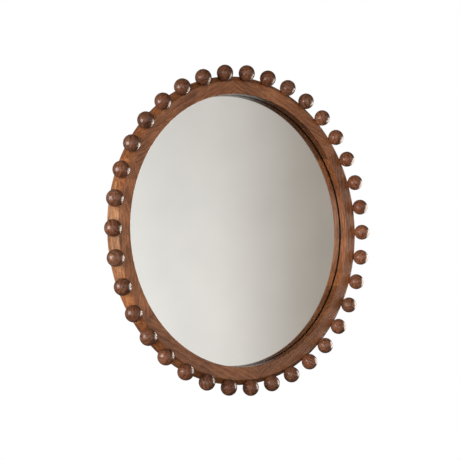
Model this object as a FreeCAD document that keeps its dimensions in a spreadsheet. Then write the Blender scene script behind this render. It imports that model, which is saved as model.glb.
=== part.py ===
import FreeCAD, Part
import math
import os

import Sketcher
from FreeCAD import Placement, Rotation, Vector

# Round wall mirror with a beaded wooden frame.
#
# The mirror hangs on the plane y = 0 with its middle at the origin and faces -Y; +Z is up.
# The frame is a ring of wooden segments, splined end to end. Its outer front edge has a wide
# bevel, and every ball stands on that bevel, square to it, on a glued dowel. Behind the
# ring's lip lie a foam gasket, the silvered glass and a backing board. Two hangers, each a
# steel strap and a swinging ring, lie in pockets in the ring's back.
#
# Angles about the mirror's axis start at the top and run clockwise as seen from the front.
# A piece that repeats is drawn at the top and turned about the mirror's axis into its place.

PARTS_FOLDER = "parts"

# Driving sizes: lengths in millimetres, angles in degrees, and counts.
SIZES = (
    ("segment_count", 6, "wooden segments in the ring"),
    ("balls_on_segment", 6, "balls on each segment"),
    ("sight_radius", 377.5, "inner edge of the frame's face"),
    ("face_width", 36, "flat front face, from the inner edge to the bevel"),
    ("bevel_width", 14.5, "bevel, from the flat face to the ring's outer side"),
    ("bevel_angle", 45, "slope of the bevel, in degrees from the flat face"),
    ("frame_depth", 32, "front face to wall plane"),
    ("edge_round", 1.2, "rounding of the ring's sharp edges"),
    ("spline_length", 50, "loose tongue across a joint, along the ring"),
    ("spline_width", 24, "loose tongue, across the ring"),
    ("spline_thickness", 4, "loose tongue"),
    ("spline_depth", 16, "front face to the middle of the tongue"),
    ("glue_clearance", 0.1, "all round a glued dowel or tongue"),
    ("ball_diameter", 45, "turned ball"),
    ("ball_flat_depth", 1.3, "taken off the ball where it seats on the bevel"),
    ("ball_seat", 8.5, "front edge of the bevel to the middle of a ball's seat"),
    ("dowel_diameter", 8, "dowel under a ball"),
    ("dowel_in_ball", 16, "dowel length inside the ball"),
    ("dowel_in_frame", 14, "dowel length inside the ring"),
    ("dowel_end_gap", 1, "hole beyond each end of a dowel"),
    ("glass_cover", 8, "lip over the edge of the glass"),
    ("glass_clearance", 1, "edge of the glass to the rabbet"),
    ("glass_thickness", 5, "mirror glass"),
    ("coating_thickness", 0.2, "silver and backing paint"),
    ("coating_margin", 0.5, "bare rim of the glass behind"),
    ("gasket_thickness", 1, "foam tape between lip and glass"),
    ("gasket_setback", 1.5, "foam tape behind the edge of the lip"),
    ("gasket_width", 6, "foam tape"),
    ("packing_clearance", 0.3, "coating to backing board"),
    ("ledge_width", 9.5, "ledge that the backing board is screwed to"),
    ("board_thickness", 3, "backing board"),
    ("board_clearance", 0.5, "edge of the board to its rabbet"),
    ("board_screws_on_segment", 2, "board screws in each segment"),
    ("board_screw_diameter", 3.5, "shank of a board screw"),
    ("board_screw_head", 7, "head of a board screw"),
    ("board_screw_length", 12, "board screw, head to tip"),
    ("head_sink", 0.2, "screw head below the board's face"),
    ("screw_clearance", 0.1, "hole round a screw"),
    ("hanger_sink", 1, "top of the hanger's eye below the wall plane"),
    ("hinge_rise", 6.5, "middle of the pocket up to the ring's hinge"),
    ("pocket_margin", 1.5, "pocket round the swinging ring and strap"),
    ("pocket_corner", 5, "corner radius of the pocket"),
    ("ring_wire", 3, "wire of the hanger ring"),
    ("ring_opening", 16, "clear width inside the hanger ring"),
    ("ring_side", 5, "straight side of the hanger ring"),
    ("ring_corner", 3, "bend at the ends of the ring's straight bar"),
    ("hinge_clearance", 0.25, "ring bar to the strap's eye, all round"),
    ("strap_width", 12, "hanger strap"),
    ("strap_thickness", 1.2, "hanger strap"),
    ("strap_length", 30, "hinge to the far end of the strap"),
    ("strap_corner", 3, "rounded corners of the strap's end"),
    ("strap_curl", 20, "end of the eye past its lowest point, in degrees"),
    ("strap_screw_first", 11.5, "hinge to the first strap screw"),
    ("strap_screw_pitch", 12, "between the two strap screws"),
    ("strap_screw_diameter", 4, "shank of a strap screw"),
    ("strap_screw_head", 7.5, "head of a strap screw"),
    ("strap_screw_head_height", 2, "head of a strap screw"),
    ("strap_screw_length", 14, "strap screw under its head"),
    ("screw_tip", 3, "pointed tip of a screw"),
    ("cut_overrun", 2, "how far a cut runs past a face"),
)

# The hangers sit this share of a ball's pitch above the horizontal.
HANGER_TILT_SHARE = 1.5
# Two sizes are the same if they differ by less than this share of the larger one.
SAME_SIZE_SHARE = 1e-6

# Sizes that follow from the driving ones. y is the distance from the wall plane, which is
# negative in front of it, and a radius is measured from the mirror's axis.
FORMULAS = (
    ("ball_pitch", "360 / (Sizes.segment_count * Sizes.balls_on_segment)"),
    ("segment_angle", "360 / Sizes.segment_count"),
    ("face_radius", "Sizes.sight_radius + Sizes.face_width"),
    ("outer_radius", "face_radius + Sizes.bevel_width"),
    ("glass_radius", "Sizes.sight_radius + Sizes.glass_cover"),
    ("rabbet_radius", "glass_radius + Sizes.glass_clearance"),
    ("board_seat_radius", "rabbet_radius + Sizes.ledge_width"),
    ("board_radius", "board_seat_radius - Sizes.board_clearance"),
    ("front_y", "-Sizes.frame_depth"),
    ("bevel_y", "front_y + Sizes.bevel_width * tan(Sizes.bevel_angle)"),
    ("bevel_normal", "90 - Sizes.bevel_angle"),
    ("board_y", "-Sizes.board_thickness"),
    ("coating_y", "board_y - Sizes.packing_clearance"),
    ("glass_back_y", "coating_y - Sizes.coating_thickness"),
    ("glass_front_y", "glass_back_y - Sizes.glass_thickness"),
    ("lip_y", "glass_front_y - Sizes.gasket_thickness"),
    ("seat_radius", "face_radius + Sizes.ball_seat * cos(Sizes.bevel_angle)"),
    ("seat_y", "front_y + Sizes.ball_seat * sin(Sizes.bevel_angle)"),
    ("ball_rise", "Sizes.ball_diameter / 2 - Sizes.ball_flat_depth"),
    ("dowel_radius", "Sizes.dowel_diameter / 2"),
    ("dowel_hole_radius", "dowel_radius + Sizes.glue_clearance"),
    ("spline_y", "front_y + Sizes.spline_depth"),
    ("spline_radius", "(rabbet_radius + outer_radius) / 2"),
    ("board_screw_radius", "rabbet_radius + Sizes.ledge_width / 2"),
    ("board_screw_face", "-Sizes.head_sink"),
    ("board_screw_tip", "board_screw_face - Sizes.board_screw_length"),
    ("hanger_radius", "(board_seat_radius + outer_radius) / 2"),
    ("hanger_tilt", "ball_pitch * %s" % HANGER_TILT_SHARE),
    ("eye_inner", "Sizes.ring_wire / 2 + Sizes.hinge_clearance"),
    ("eye_outer", "eye_inner + Sizes.strap_thickness"),
    ("pocket_depth", "2 * eye_outer + Sizes.hanger_sink"),
    ("eye_y", "eye_outer - pocket_depth"),
    ("strap_top_y", "Sizes.strap_thickness - pocket_depth"),
    ("strap_screw_tip", "strap_top_y - Sizes.strap_screw_length"),
    ("ring_bend", "(Sizes.ring_opening + Sizes.ring_wire) / 2"),
    ("ring_reach", "Sizes.ring_side + ring_bend + Sizes.ring_wire / 2"),
    ("pocket_half_width", "ring_bend + Sizes.ring_wire / 2 + Sizes.pocket_margin"),
    ("pocket_top", "Sizes.hinge_rise + ring_reach + Sizes.pocket_margin"),
    ("pocket_bottom", "Sizes.hinge_rise - Sizes.strap_length - Sizes.pocket_margin"),
)

# Screws repeat at equal steps: from segment to segment, and from the hinge down each strap.
BOARD_SCREW_STEP = "Derived.segment_angle / Sizes.board_screws_on_segment"
FIRST_BOARD_SCREW = "%s / 2 - Derived.ball_pitch / 2" % BOARD_SCREW_STEP
STRAP_SCREW_DROPS = ("Sizes.strap_screw_first", "Sizes.strap_screw_first + Sizes.strap_screw_pitch")

RIGHT = 1
LEFT = -1
SIDE_NAMES = {RIGHT: "right", LEFT: "left"}
MIRROR_AXIS = Vector(0, 1, 0)
ACROSS = Vector(1, 0, 0)
SKETCH_NORMAL = Vector(0, 0, 1)

doc = FreeCAD.newDocument("wall_mirror")


def make_sheet(name, rows):
    """Spreadsheet with one named value per row."""
    sheet = doc.addObject("Spreadsheet::Sheet", name)
    for row, (alias, content) in enumerate(rows, start=1):
        sheet.set("A%d" % row, alias)
        sheet.set("B%d" % row, content)
        sheet.setAlias("B%d" % row, alias)
    return sheet


size_sheet = make_sheet("Sizes", [(alias, str(number)) for alias, number, _ in SIZES])
for size_row, (_, _, size_note) in enumerate(SIZES, start=1):
    size_sheet.set("C%d" % size_row, size_note)
derived_sheet = make_sheet("Derived", [(alias, "=" + formula) for alias, formula in FORMULAS])
doc.recompute()


def size(text):
    """Present value of an expression on the two sheets."""
    result = size_sheet.evalExpression(text)
    return float(getattr(result, "Value", result))


# Sketching

def new_body(label):
    body = doc.addObject("PartDesign::Body", label)
    body.Label = label
    return body


def turn_about_mirror(item, angle):
    """Turns a piece that is drawn at the top about the mirror's axis by an expression."""
    item.Placement = Placement(Vector(), Rotation(MIRROR_AXIS, size(angle)))
    item.setExpression("Placement.Rotation.Angle", angle)


def new_sketch(body, name, role, offset=None, turn=None):
    """Sketch on one of the body's own planes, which an expression may shift along its normal.

    turn is a pair: the sketch's own axis to turn about, and the angle as an expression.
    """
    sketch = body.newObject("Sketcher::SketchObject", name)
    plane = [feature for feature in body.Origin.OriginFeatures if feature.Role == role][0]
    sketch.AttachmentSupport = [(plane, "")]
    sketch.MapMode = "FlatFace"
    if turn is not None:
        axis, angle = turn
        sketch.AttachmentOffset = Placement(Vector(), Rotation(axis, size(angle)))
        sketch.setExpression("AttachmentOffset.Rotation.Angle", angle)
    if offset is not None:
        sketch.setExpression("AttachmentOffset.Base.z", offset)
    return sketch


def dimension(sketch, kind, elements, expression):
    """Driving dimension of a sketch, bound to an expression."""
    index = sketch.addConstraint(Sketcher.Constraint(kind, *elements, size(expression)))
    sketch.setExpression("Constraints[%d]" % index, expression)


def place_point(sketch, geometry, point, across, up):
    """Fixes a sketch point at two expressions; "0" puts it on the sketch's own axis."""
    for kind, axis, expression in (("DistanceX", -2, across), ("DistanceY", -1, up)):
        if expression == "0":
            sketch.addConstraint(Sketcher.Constraint("PointOnObject", geometry, point, axis))
        else:
            dimension(sketch, kind, (-1, 1, geometry, point), expression)


def draw_outline(sketch, corners):
    """Closed outline of straight edges through corners given as pairs of expressions."""
    first = sketch.GeometryCount
    places = [Vector(size(across), size(up), 0) for across, up in corners]
    count = len(corners)
    for index, place in enumerate(places):
        sketch.addGeometry(Part.LineSegment(place, places[(index + 1) % count]), False)
    for index in range(count):
        follower = first + (index + 1) % count
        sketch.addConstraint(Sketcher.Constraint("Coincident", first + index, 2, follower, 1))
    for index, (across, up) in enumerate(corners):
        place_point(sketch, first + index, 1, across, up)


def draw_axis(sketch, start, end):
    """Construction line that a profile is turned about."""
    places = [Vector(size(across), size(up), 0) for across, up in (start, end)]
    line = sketch.addGeometry(Part.LineSegment(*places), True)
    place_point(sketch, line, 1, *start)
    place_point(sketch, line, 2, *end)


def draw_circle(sketch, across, up, radius):
    centre = Vector(size(across), size(up), 0)
    circle = sketch.addGeometry(Part.Circle(centre, SKETCH_NORMAL, size(radius)), False)
    place_point(sketch, circle, 3, across, up)
    dimension(sketch, "Radius", (circle,), radius)


def arc(centre, radius, start_angle, end_angle):
    circle = Part.Circle(centre, SKETCH_NORMAL, radius)
    return Part.ArcOfCircle(circle, math.radians(start_angle), math.radians(end_angle))


def draw_rounded_box(sketch, left, right, low, high, radius):
    """Box with rounded corners between four expressions."""
    west, east, south, north, bend = [size(text) for text in (left, right, low, high, radius)]
    lines = (
        Part.LineSegment(Vector(west + bend, south, 0), Vector(east - bend, south, 0)),
        Part.LineSegment(Vector(east, south + bend, 0), Vector(east, north - bend, 0)),
        Part.LineSegment(Vector(east - bend, north, 0), Vector(west + bend, north, 0)),
        Part.LineSegment(Vector(west, north - bend, 0), Vector(west, south + bend, 0)),
    )
    arcs = (
        arc(Vector(east - bend, south + bend, 0), bend, -90, 0),
        arc(Vector(east - bend, north - bend, 0), bend, 0, 90),
        arc(Vector(west + bend, north - bend, 0), bend, 90, 180),
        arc(Vector(west + bend, south + bend, 0), bend, 180, 270),
    )
    line = [sketch.addGeometry(item, False) for item in lines]
    bends = [sketch.addGeometry(item, False) for item in arcs]
    for index in range(len(line)):
        following = line[(index + 1) % len(line)]
        sketch.addConstraint(Sketcher.Constraint("Tangent", line[index], 2, bends[index], 1))
        sketch.addConstraint(Sketcher.Constraint("Tangent", bends[index], 2, following, 1))
    for index in (0, 2):
        sketch.addConstraint(Sketcher.Constraint("Horizontal", line[index]))
        sketch.addConstraint(Sketcher.Constraint("Vertical", line[index + 1]))
    for index in range(1, len(bends)):
        sketch.addConstraint(Sketcher.Constraint("Equal", bends[0], bends[index]))
    dimension(sketch, "Radius", (bends[0],), radius)
    dimension(sketch, "DistanceY", (-1, 1, line[0], 1), low)
    dimension(sketch, "DistanceX", (-1, 1, line[1], 1), right)
    dimension(sketch, "DistanceY", (-1, 1, line[2], 1), high)
    dimension(sketch, "DistanceX", (-1, 1, line[3], 1), left)


# Features

def add_turned(body, kind, name, sketch, axis):
    """Solid or cut turned a whole circle about an axis of its sketch."""
    feature = body.newObject("PartDesign::" + kind, name)
    feature.Profile = sketch
    feature.ReferenceAxis = (sketch, [axis])
    feature.Angle = 360
    return feature


def add_straight(body, kind, name, sketch, length, both_ways=False, reverse=False):
    """Pad or pocket of a bound length."""
    feature = body.newObject("PartDesign::" + kind, name)
    feature.Profile = sketch
    if both_ways:
        feature.SideType = "Symmetric"
    feature.Reversed = reverse
    feature.setExpression("Length", length)
    return feature


def add_ring_pattern(body, name, original, count, extent):
    """Copies a feature about the mirror's axis, over an angle given as an expression."""
    pattern = body.newObject("PartDesign::PolarPattern", name)
    pattern.Originals = [original]
    axis = [feature for feature in body.Origin.OriginFeatures if feature.Role == "Y_Axis"][0]
    pattern.Axis = (axis, [""])
    pattern.setExpression("Angle", extent)
    pattern.setExpression("Occurrences", count)
    body.Tip = pattern
    return pattern


def round_edges(body, name, base, wanted, radius):
    """Fillet on the edges of the base that a test picks."""
    doc.recompute()
    edges = base.Shape.Edges
    names = ["Edge%d" % number for number, edge in enumerate(edges, start=1) if wanted(edge)]
    fillet = body.newObject("PartDesign::Fillet", name)
    fillet.Base = (base, names)
    fillet.setExpression("Radius", radius)
    return fillet


def same(first, second):
    return math.isclose(first, second, rel_tol=SAME_SIZE_SHARE, abs_tol=Part.Precision.confusion())


# Frame

RING_SECTION = (
    ("Derived.front_y", "Sizes.sight_radius"),
    ("Derived.front_y", "Derived.face_radius"),
    ("Derived.bevel_y", "Derived.outer_radius"),
    ("0", "Derived.outer_radius"),
    ("0", "Derived.board_seat_radius"),
    ("Derived.board_y", "Derived.board_seat_radius"),
    ("Derived.board_y", "Derived.rabbet_radius"),
    ("Derived.lip_y", "Derived.rabbet_radius"),
    ("Derived.lip_y", "Sizes.sight_radius"),
)


def is_rounded_ring_edge(edge):
    """The inner front edge, both edges of the bevel and the outer back edge."""
    if not hasattr(edge.Curve, "Radius"):
        return False
    places = (
        ("Derived.front_y", "Sizes.sight_radius"),
        ("Derived.front_y", "Derived.face_radius"),
        ("Derived.bevel_y", "Derived.outer_radius"),
        ("0", "Derived.outer_radius"),
    )
    height = edge.Vertexes[0].Point.y
    radius = edge.Curve.Radius
    return any(same(size(y), height) and same(size(r), radius) for y, r in places)


def seat_sketch(body, name):
    """Sketch through a ball's middle: its origin is the seat and its second axis the dowel's."""
    sketch = new_sketch(body, name, "YZ_Plane", turn=(SKETCH_NORMAL, "Derived.bevel_normal"))
    sketch.setExpression("AttachmentOffset.Base.x", "Derived.seat_y")
    sketch.setExpression("AttachmentOffset.Base.y", "Derived.seat_radius")
    return sketch


def cut_dowel_holes(body):
    sketch = seat_sketch(body, "dowel_hole_section")
    bottom = "-(Sizes.dowel_in_frame + Sizes.dowel_end_gap)"
    draw_outline(sketch, (
        ("0", bottom),
        ("Derived.dowel_hole_radius", bottom),
        ("Derived.dowel_hole_radius", "Sizes.cut_overrun"),
        ("0", "Sizes.cut_overrun"),
    ))
    hole = add_turned(body, "Groove", "dowel_hole", sketch, "V_Axis")
    extent = "Derived.ball_pitch * (Sizes.balls_on_segment - 1)"
    add_ring_pattern(body, "dowel_holes", hole, "Sizes.balls_on_segment", extent)


def spline_corners(clearance):
    """Section of a tongue across the ring, with a clearance all round."""
    half_thickness = "(Sizes.spline_thickness / 2 + %s)" % clearance
    half_width = "(Sizes.spline_width / 2 + %s)" % clearance
    near = "Derived.spline_y - " + half_thickness
    far = "Derived.spline_y + " + half_thickness
    low = "Derived.spline_radius - " + half_width
    high = "Derived.spline_radius + " + half_width
    return ((near, low), (far, low), (far, high), (near, high))


def cut_spline_slots(body):
    """A slot in each end of a segment; the first end lies half a ball's pitch before the top."""
    turn = (ACROSS, "-Derived.ball_pitch / 2")
    sketch = new_sketch(body, "spline_slot_section", "YZ_Plane", turn=turn)
    draw_outline(sketch, spline_corners("Sizes.glue_clearance"))
    length = "Sizes.spline_length + 2 * Sizes.glue_clearance"
    slot = add_straight(body, "Pocket", "spline_slot", sketch, length, both_ways=True)
    add_ring_pattern(body, "spline_slots", slot, "2", "Derived.segment_angle")


def shank_corners(start, middle, diameter, tip, clearance="0"):
    """Half section of a pointed shank, from the side at its start round to its tip."""
    side = "%s + %s / 2 + %s" % (middle, diameter, clearance)
    shoulder = "%s + Sizes.screw_tip" % tip
    return ((start, side), (shoulder, side), (tip, middle))


def cut_board_screw_holes(body):
    turn = (ACROSS, FIRST_BOARD_SCREW)
    sketch = new_sketch(body, "board_screw_hole_section", "YZ_Plane", turn=turn)
    middle = "Derived.board_screw_radius"
    start = "Derived.board_y + Sizes.cut_overrun"
    tip = "Derived.board_screw_tip - Sizes.screw_clearance"
    diameter = "Sizes.board_screw_diameter"
    shank = shank_corners(start, middle, diameter, tip, clearance="Sizes.screw_clearance")
    draw_outline(sketch, ((start, middle),) + shank)
    draw_axis(sketch, (start, middle), (tip, middle))
    hole = add_turned(body, "Groove", "board_screw_hole", sketch, "Axis0")
    extent = "%s * (Sizes.board_screws_on_segment - 1)" % BOARD_SCREW_STEP
    add_ring_pattern(body, "board_screw_holes", hole, "Sizes.board_screws_on_segment", extent)


def hanger_angle(side):
    """Angle of a hanger's middle from the top, as an expression."""
    return "%d * (90 - Derived.hanger_tilt)" % side


def cut_hanger_pocket(body, side, from_first_ball):
    """Pocket in the back for one hanger, with the holes for its two screws."""
    turn = (-SKETCH_NORMAL, from_first_ball)
    sketch = new_sketch(body, "pocket_outline", "XZ_Plane", turn=turn)
    top = "%d * Derived.pocket_top" % -side
    bottom = "%d * Derived.pocket_bottom" % -side
    left, right = sorted((top, bottom), key=size)
    low = "Derived.hanger_radius - Derived.pocket_half_width"
    high = "Derived.hanger_radius + Derived.pocket_half_width"
    draw_rounded_box(sketch, left, right, low, high, "Sizes.pocket_corner")
    add_straight(body, "Pocket", "hanger_pocket", sketch, "Derived.pocket_depth", reverse=True)
    holes = new_sketch(body, "strap_screw_places", "XZ_Plane", offset="Derived.pocket_depth", turn=turn)
    radius = "Sizes.strap_screw_diameter / 2 + Sizes.screw_clearance"
    for drop in STRAP_SCREW_DROPS:
        across = "%d * (Sizes.hinge_rise - (%s))" % (-side, drop)
        draw_circle(holes, across, "Derived.hanger_radius", radius)
    depth = "Sizes.strap_screw_length - Sizes.strap_thickness + Sizes.screw_clearance"
    add_straight(body, "Pocket", "strap_screw_holes", holes, depth, reverse=True)


def make_segment(index):
    """One wooden segment; its first ball is at the top of its own frame."""
    body = new_body("frame_segment_%d" % (index + 1))
    sketch = new_sketch(body, "section", "YZ_Plane")
    draw_outline(sketch, RING_SECTION)
    ring = body.newObject("PartDesign::Revolution", "ring_part")
    ring.Profile = sketch
    ring.ReferenceAxis = (sketch, ["H_Axis"])
    ring.Type = "TwoAngles"
    ring.setExpression("Angle", "Derived.segment_angle - Derived.ball_pitch / 2")
    ring.setExpression("Angle2", "Derived.ball_pitch / 2")
    round_edges(body, "eased_edges", ring, is_rounded_ring_edge, "Sizes.edge_round")
    cut_dowel_holes(body)
    cut_spline_slots(body)
    cut_board_screw_holes(body)
    start = "Derived.segment_angle * %d" % index
    span = size("Derived.segment_angle")
    for side in (RIGHT, LEFT):
        past_first_ball = (size(hanger_angle(side)) - size(start)) % 360
        if past_first_ball < span - size("Derived.ball_pitch") / 2:
            whole_turns = round((size(hanger_angle(side)) - size(start) - past_first_ball) / 360)
            angle = "%s - %s - 360 * (%d)" % (hanger_angle(side), start, whole_turns)
            cut_hanger_pocket(body, side, angle)
    turn_about_mirror(body, start)
    return body


def make_splines():
    body = new_body("segment_splines")
    turn = (ACROSS, "-Derived.ball_pitch / 2")
    sketch = new_sketch(body, "section", "YZ_Plane", turn=turn)
    draw_outline(sketch, spline_corners("0"))
    tongue = add_straight(body, "Pad", "tongue", sketch, "Sizes.spline_length", both_ways=True)
    add_ring_pattern(body, "tongues", tongue, "Sizes.segment_count", "360")
    return body


# Balls

def make_ball(index):
    """Turned ball with a flat seat and a blind hole for its dowel."""
    body = new_body("ball_%02d" % (index + 1))
    sketch = seat_sketch(body, "section")
    radius = size("Sizes.ball_diameter / 2")
    rise = size("Derived.ball_rise")
    hole = size("Derived.dowel_hole_radius")
    depth = "Sizes.dowel_in_ball + Sizes.dowel_end_gap"
    half_flat = math.sqrt(radius ** 2 - rise ** 2)
    start_angle = math.degrees(math.atan2(-rise, half_flat))
    top = Vector(0, rise + radius, 0)
    bottom = Vector(0, size(depth), 0)
    step = Vector(hole, size(depth), 0)
    mouth = Vector(hole, 0, 0)
    rim = Vector(half_flat, 0, 0)
    sketch.addGeometry(arc(Vector(0, rise, 0), radius, start_angle, 90), False)
    sketch.addGeometry(Part.LineSegment(top, bottom), False)
    sketch.addGeometry(Part.LineSegment(bottom, step), False)
    sketch.addGeometry(Part.LineSegment(step, mouth), False)
    sketch.addGeometry(Part.LineSegment(mouth, rim), False)
    for first, start, second, end in ((0, 2, 1, 1), (1, 2, 2, 1), (2, 2, 3, 1), (3, 2, 4, 1), (4, 2, 0, 1)):
        sketch.addConstraint(Sketcher.Constraint("Coincident", first, start, second, end))
    sketch.addConstraint(Sketcher.Constraint("PointOnObject", 0, 2, -2))
    place_point(sketch, 0, 3, "0", "Derived.ball_rise")
    dimension(sketch, "Radius", (0,), "Sizes.ball_diameter / 2")
    place_point(sketch, 2, 1, "0", depth)
    place_point(sketch, 2, 2, "Derived.dowel_hole_radius", depth)
    place_point(sketch, 4, 1, "Derived.dowel_hole_radius", "0")
    sketch.addConstraint(Sketcher.Constraint("PointOnObject", 4, 2, -1))
    add_turned(body, "Revolution", "turned_ball", sketch, "V_Axis")
    turn_about_mirror(body, "Derived.ball_pitch * %d" % index)
    return body


def make_dowels():
    body = new_body("ball_dowels")
    sketch = seat_sketch(body, "section")
    draw_outline(sketch, (
        ("0", "-Sizes.dowel_in_frame"),
        ("Derived.dowel_radius", "-Sizes.dowel_in_frame"),
        ("Derived.dowel_radius", "Sizes.dowel_in_ball"),
        ("0", "Sizes.dowel_in_ball"),
    ))
    dowel = add_turned(body, "Revolution", "dowel", sketch, "V_Axis")
    add_ring_pattern(body, "dowels", dowel, "Sizes.segment_count * Sizes.balls_on_segment", "360")
    return body


# Glass and back

def make_disc(label, radius, back_y, thickness):
    """Flat disc on the mirror's axis whose back lies at an expression."""
    body = new_body(label)
    sketch = new_sketch(body, "outline", "XZ_Plane", offset="-(%s)" % back_y)
    draw_circle(sketch, "0", "0", radius)
    add_straight(body, "Pad", "disc", sketch, thickness)
    return body


def make_gasket():
    body = new_body("glass_gasket")
    sketch = new_sketch(body, "outline", "XZ_Plane", offset="-Derived.glass_front_y")
    inner = "Sizes.sight_radius + Sizes.gasket_setback"
    draw_circle(sketch, "0", "0", inner)
    draw_circle(sketch, "0", "0", "%s + Sizes.gasket_width" % inner)
    add_straight(body, "Pad", "tape", sketch, "Sizes.gasket_thickness")
    return body


def screw_head_corners(top, clearance="0"):
    """Half section of a countersunk head with a square point angle, down to its shank."""
    middle = "Derived.board_screw_radius"
    head = "(Sizes.board_screw_head / 2 + %s)" % clearance
    shank = "(Sizes.board_screw_diameter / 2 + %s)" % clearance
    face = "Derived.board_screw_face"
    return (
        (top, middle),
        (top, "%s + %s" % (middle, head)),
        (face, "%s + %s" % (middle, head)),
        ("%s - %s + %s" % (face, head, shank), "%s + %s" % (middle, shank)),
    )


def make_backing_board():
    """Board with a countersunk hole for every screw."""
    body = make_disc("backing_board", "Derived.board_radius", "0", "Sizes.board_thickness")
    sketch = new_sketch(body, "screw_hole_section", "YZ_Plane", turn=(ACROSS, FIRST_BOARD_SCREW))
    middle = "Derived.board_screw_radius"
    beyond = "Derived.board_y - Sizes.cut_overrun"
    side = "%s + Sizes.board_screw_diameter / 2 + Sizes.screw_clearance" % middle
    head = screw_head_corners("Sizes.cut_overrun", clearance="Sizes.screw_clearance")
    draw_outline(sketch, head + ((beyond, side), (beyond, middle)))
    draw_axis(sketch, ("Sizes.cut_overrun", middle), (beyond, middle))
    hole = add_turned(body, "Groove", "screw_hole", sketch, "Axis0")
    count = "Sizes.segment_count * Sizes.board_screws_on_segment"
    add_ring_pattern(body, "screw_holes", hole, count, "360")
    return body


def make_board_screws():
    body = new_body("backing_screws")
    sketch = new_sketch(body, "section", "YZ_Plane", turn=(ACROSS, FIRST_BOARD_SCREW))
    middle = "Derived.board_screw_radius"
    face = "Derived.board_screw_face"
    tip = "Derived.board_screw_tip"
    centre, _, rim, neck = screw_head_corners(face)
    _, shoulder, point = shank_corners(face, middle, "Sizes.board_screw_diameter", tip)
    draw_outline(sketch, (centre, rim, neck, shoulder, point))
    draw_axis(sketch, centre, point)
    screw = add_turned(body, "Revolution", "screw", sketch, "Axis0")
    count = "Sizes.segment_count * Sizes.board_screws_on_segment"
    add_ring_pattern(body, "screws", screw, count, "360")
    return body


# Hangers: each is drawn upright at three or nine o'clock and tilted with the ring's side.

def tilt_hanger(body, side):
    turn_about_mirror(body, "%d * Derived.hanger_tilt" % -side)


def hanger_x(side):
    return "%d * Derived.hanger_radius" % side


def make_strap(side):
    """Steel strap with a rolled eye round the ring's bar and two screw holes."""
    body = new_body("hanger_strap_" + SIDE_NAMES[side])
    sketch = new_sketch(body, "section", "YZ_Plane", offset=hanger_x(side))
    centre = Vector(size("Derived.eye_y"), size("Sizes.hinge_rise"), 0)
    outer = size("Derived.eye_outer")
    inner = size("Derived.eye_inner")
    curl = size("Sizes.strap_curl")
    end_angle = -90 - curl
    floor = centre.x - outer
    top = centre.x - inner
    foot = size("Sizes.hinge_rise - Sizes.strap_length")
    direction = Vector(math.cos(math.radians(end_angle)), math.sin(math.radians(end_angle)), 0)
    sketch.addGeometry(arc(centre, outer, end_angle, 180), False)
    sketch.addGeometry(Part.LineSegment(Vector(floor, centre.y, 0), Vector(floor, foot, 0)), False)
    sketch.addGeometry(Part.LineSegment(Vector(floor, foot, 0), Vector(top, foot, 0)), False)
    sketch.addGeometry(Part.LineSegment(Vector(top, foot, 0), Vector(top, centre.y, 0)), False)
    sketch.addGeometry(arc(centre, inner, end_angle, 180), False)
    sketch.addGeometry(Part.LineSegment(centre + direction * inner, centre + direction * outer), False)
    for first, start, second, end in ((1, 2, 2, 1), (2, 2, 3, 1), (4, 1, 5, 1), (5, 2, 0, 1)):
        sketch.addConstraint(Sketcher.Constraint("Coincident", first, start, second, end))
    sketch.addConstraint(Sketcher.Constraint("Tangent", 0, 2, 1, 1))
    sketch.addConstraint(Sketcher.Constraint("Tangent", 3, 2, 4, 2))
    sketch.addConstraint(Sketcher.Constraint("Coincident", 0, 3, 4, 3))
    sketch.addConstraint(Sketcher.Constraint("Vertical", 1))
    sketch.addConstraint(Sketcher.Constraint("Vertical", 3))
    sketch.addConstraint(Sketcher.Constraint("Horizontal", 2))
    place_point(sketch, 0, 3, "Derived.eye_y", "Sizes.hinge_rise")
    dimension(sketch, "Radius", (0,), "Derived.eye_outer")
    dimension(sketch, "Radius", (4,), "Derived.eye_inner")
    dimension(sketch, "DistanceY", (-1, 1, 2, 1), "Sizes.hinge_rise - Sizes.strap_length")
    sketch.addConstraint(Sketcher.Constraint("PointOnObject", 0, 3, 5))
    end_x = "Derived.eye_inner * sin(Sizes.strap_curl) - Derived.eye_y"
    dimension(sketch, "DistanceX", (5, 1, -1, 1), end_x)
    leaf = add_straight(body, "Pad", "leaf_and_eye", sketch, "Sizes.strap_width", both_ways=True)

    def is_end_corner(edge):
        ends = [vertex.Point for vertex in edge.Vertexes]
        return all(same(end.z, foot) for end in ends) and same(ends[0].x, ends[-1].x)

    round_edges(body, "rounded_end", leaf, is_end_corner, "Sizes.strap_corner")
    holes = new_sketch(body, "screw_places", "XZ_Plane", offset="-Derived.strap_top_y")
    radius = "Sizes.strap_screw_diameter / 2 + Sizes.screw_clearance"
    for drop in STRAP_SCREW_DROPS:
        draw_circle(holes, hanger_x(side), "Sizes.hinge_rise - (%s)" % drop, radius)
    depth = "Sizes.strap_thickness + Sizes.cut_overrun"
    add_straight(body, "Pocket", "screw_holes", holes, depth, reverse=True)
    tilt_hanger(body, side)
    return body


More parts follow.
